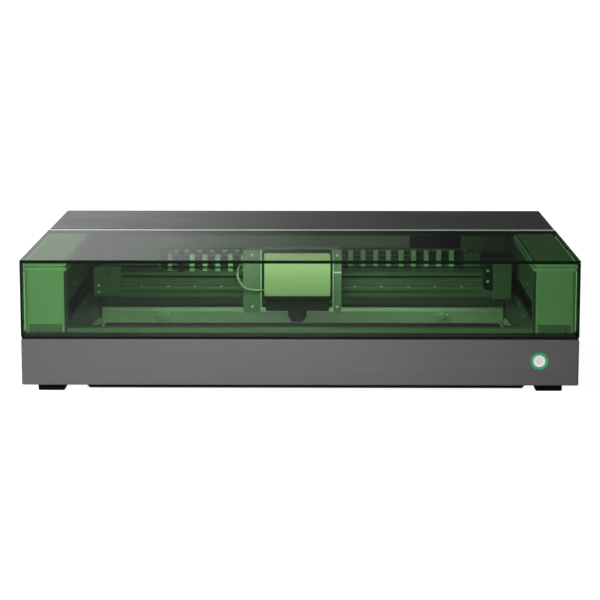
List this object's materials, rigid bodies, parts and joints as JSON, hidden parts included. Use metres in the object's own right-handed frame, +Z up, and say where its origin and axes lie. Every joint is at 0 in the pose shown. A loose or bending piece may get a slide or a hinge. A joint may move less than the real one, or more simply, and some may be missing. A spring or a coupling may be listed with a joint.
{
  "type": "desktop laser cutter",
  "caption": "Enclosed desktop laser cutter with a tinted hinged lid, XY gantry with a lifting laser head, drag chain, fan exhaust and lit push button.",
  "frame": {"origin": "centre of the footprint, on the surface that the feet stand on", "axes": "+Z up, -Y towards the front and the user, +X to the user's right"},
  "size_m": [0.765, 0.575, 0.185],
  "materials": {
    "grey_paint": "fine satin texture",
    "dark_paint": "satin",
    "hood_grey": "fine satin",
    "liner_grey": "satin",
    "bright_sheet": "satin",
    "green_acrylic": "clear gloss",
    "pale_trim": "satin",
    "rubber": "matte",
    "black_plastic": "fine texture",
    "white_plastic": "satin",
    "steel": "turned",
    "aluminium": "satin",
    "black_anodised": "anodised satin",
    "green_ring": "lit translucent",
    "light_bar": "frosted, lit",
    "board_green": "solder mask"
  },
  "bodies": {
    "base": {"base_shell": "grey_paint", "bottom_tray": "dark_paint", "lid_seal": "rubber", "front_sill": "liner_grey", "work_bed": "black_anodised", "chamber_wall": "liner_grey", "rear_baffle": "bright_sheet", "rear_cover": "grey_paint", "exhaust_collar": "black_plastic", "fan_frame": "black_plastic", "power_inlet": "black_plastic", "switch_bezel": "black_plastic", "power_supply": "aluminium", "control_board": "board_green", "led_strip": "light_bar", "button_ring": "green_ring", "side_housing_left": "hood_grey", "side_housing_right": "hood_grey", "sensor_plate_left": "liner_grey", "sensor_plate_right": "liner_grey", "rail_y_left": "aluminium", "rail_y_right": "aluminium", "belt_y_left": "rubber", "belt_y_right": "rubber", "motor_y": "black_anodised", "foot_front_left": "rubber", "foot_front_right": "rubber", "foot_rear_left": "rubber", "foot_rear_right": "rubber"},
    "lid": {"lid_top": "green_acrylic", "lid_front": "green_acrylic", "lid_left": "green_acrylic", "lid_right": "green_acrylic", "lid_trim": "pale_trim"},
    "gantry": {"gantry_beam": "black_anodised", "rail_x": "steel", "belt_x": "rubber", "motor_x": "black_anodised", "chain_tray": "black_anodised", "drag_chain": "black_plastic", "carriage_left": "black_anodised", "carriage_right": "black_anodised"},
    "head": {"head_frame": "liner_grey", "lift_motor": "black_anodised", "air_hose": "black_plastic"},
    "module": {"module_case": "white_plastic", "module_front": "white_plastic", "laser_core": "dark_paint"},
    "lead_screw": {"lead_screw": "steel"},
    "motor_x_pulley": {"motor_x_pulley": "steel"},
    "idler_x": {"idler_x": "steel"},
    "shaft_y": {"shaft_y": "steel"},
    "idler_y_left": {"idler_y_left": "steel"},
    "idler_y_right": {"idler_y_right": "steel"},
    "power_button": {"power_button": "white_plastic"},
    "power_rocker": {"power_rocker": "black_plastic"},
    "fan_rotor": {"fan_rotor": "black_plastic"},
    "module_fan": {"module_fan": "black_plastic"},
    "thumb_screw_left": {"thumb_screw_left": "steel"},
    "thumb_screw_right": {"thumb_screw_right": "steel"}
  },
  "joints": [
    {"name": "lid_hinge", "type": "hinge", "parent": "base", "child": "lid", "pos_m": [0, 0.0418, 0.182], "axis": [-1, 0, 0], "range_deg": [0, 70]},
    {"name": "gantry_slide", "type": "slide", "parent": "base", "child": "gantry", "axis": [0, 1, 0], "range_m": [-0.205, 0.095]},
    {"name": "head_slide", "type": "slide", "parent": "gantry", "child": "head", "axis": [1, 0, 0], "range_m": [-0.195, 0.195], "deforming": ["drag_chain"]},
    {"name": "module_lift", "type": "slide", "parent": "head", "child": "module", "axis": [0, 0, 1], "range_m": [-0.012, 0.012], "deforming": ["air_hose"]},
    {"name": "lead_screw_turn", "type": "hinge", "parent": "head", "child": "lead_screw", "pos_m": [-0.071, -0.0275, 0.1075], "axis": [0, 0, 1], "range_deg": [-560, 560]},
    {"name": "motor_x_turn", "type": "hinge", "parent": "gantry", "child": "motor_x_pulley", "pos_m": [0.291, -0.0005, 0.126], "axis": [0, 1, 0], "range_deg": [-1800, 1800]},
    {"name": "idler_x_turn", "type": "hinge", "parent": "gantry", "child": "idler_x", "pos_m": [-0.291, -0.0005, 0.126], "axis": [0, 1, 0], "range_deg": [-1800, 1800]},
    {"name": "shaft_y_turn", "type": "hinge", "parent": "base", "child": "shaft_y", "pos_m": [0, 0.1625, 0.11], "axis": [1, 0, 0], "range_deg": [-1900, 1900]},
    {"name": "idler_y_left_turn", "type": "hinge", "parent": "base", "child": "idler_y_left", "pos_m": [-0.369, -0.2615, 0.11], "axis": [1, 0, 0], "range_deg": [-1900, 1900]},
    {"name": "idler_y_right_turn", "type": "hinge", "parent": "base", "child": "idler_y_right", "pos_m": [0.369, -0.2615, 0.11], "axis": [1, 0, 0], "range_deg": [-1900, 1900]},
    {"name": "power_button_push", "type": "slide", "parent": "base", "child": "power_button", "axis": [0, 1, 0], "range_m": [0, 0.002], "stiffness_N_per_m": 1000, "springref_m": -0.0005},
    {"name": "power_rocker_tilt", "type": "hinge", "parent": "base", "child": "power_rocker", "pos_m": [-0.244, 0.2725, 0.046], "axis": [1, 0, 0], "range_deg": [-8, 8]},
    {"name": "exhaust_fan_spin", "type": "hinge", "parent": "base", "child": "fan_rotor", "pos_m": [0.21, 0.243, 0.131], "axis": [0, 1, 0], "continuous": true},
    {"name": "module_fan_spin", "type": "hinge", "parent": "module", "child": "module_fan", "pos_m": [-0.006, -0.0295, 0.155], "axis": [0, 0, 1], "continuous": true},
    {"name": "thumb_left_turn", "type": "hinge", "parent": "base", "child": "thumb_screw_left", "pos_m": [-0.2196, 0.1725, 0.031], "axis": [0, 1, 0], "continuous": true},
    {"name": "thumb_right_turn", "type": "hinge", "parent": "base", "child": "thumb_screw_right", "pos_m": [0.2209, 0.1725, 0.031], "axis": [0, 1, 0], "continuous": true}
  ],
  "couplings": [
    {"joint": "lead_screw_turn", "follows": "module_lift", "rad_per_m": 785.4},
    {"joint": "motor_x_turn", "follows": "head_slide", "rad_per_m": -157.09},
    {"joint": "idler_x_turn", "follows": "head_slide", "rad_per_m": -157.09},
    {"joint": "shaft_y_turn", "follows": "gantry_slide", "rad_per_m": -157.09},
    {"joint": "idler_y_left_turn", "follows": "gantry_slide", "rad_per_m": -157.09},
    {"joint": "idler_y_right_turn", "follows": "gantry_slide", "rad_per_m": -157.09}
  ]
}
